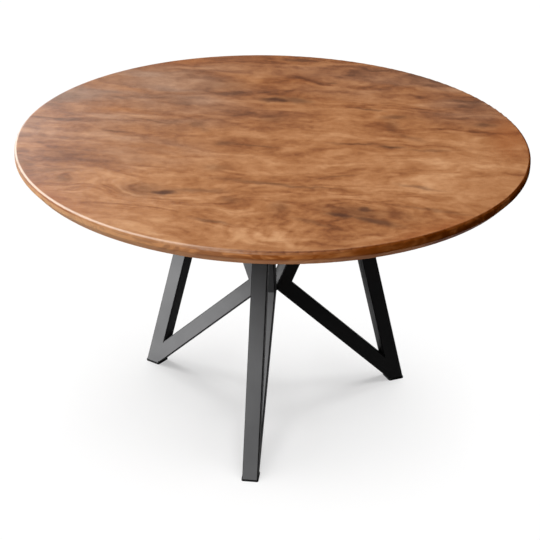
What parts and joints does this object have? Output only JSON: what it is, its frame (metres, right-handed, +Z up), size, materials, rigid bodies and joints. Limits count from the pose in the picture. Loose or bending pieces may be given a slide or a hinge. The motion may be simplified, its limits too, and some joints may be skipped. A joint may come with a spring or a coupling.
{
  "type": "dining table",
  "caption": "Round solid-wood dining table with an undercut bevelled edge on a powder-coated steel base of square-tube leg frames that meet at a central hub.",
  "frame": {"origin": "on the floor, under the middle of the round top, where the table's vertical axis meets the floor", "axes": "+Z up; the front leg points along -Y, the right leg 30 degrees behind +X and the left leg 30 degrees behind -X; the wood's grain runs along X"},
  "size_m": [1.3, 1.3, 0.76],
  "materials": {
    "top_wood": "satin oiled",
    "frame_steel": "satin powder coat",
    "channel_steel": "matt powder coat",
    "bolt_steel": "black oxide",
    "screw_steel": "bright zinc",
    "insert_brass": "satin",
    "glide_plastic": "matt"
  },
  "bodies": {
    "root": {"tabletop": "top_wood", "left_stiffener": "channel_steel", "right_stiffener": "channel_steel", "stiffener_screws": "screw_steel", "front_post": "frame_steel", "right_post": "frame_steel", "left_post": "frame_steel", "front_strut": "frame_steel", "right_strut": "frame_steel", "left_strut": "frame_steel", "front_brace": "frame_steel", "right_brace": "frame_steel", "left_brace": "frame_steel", "hub_welds": "frame_steel", "seam_welds": "frame_steel", "front_plate": "frame_steel", "right_plate": "frame_steel", "left_plate": "frame_steel", "plate_bolts": "bolt_steel", "plate_washers": "bolt_steel", "threaded_inserts": "insert_brass", "front_glide": "glide_plastic", "right_glide": "glide_plastic", "left_glide": "glide_plastic"}
  },
  "joints": []
}
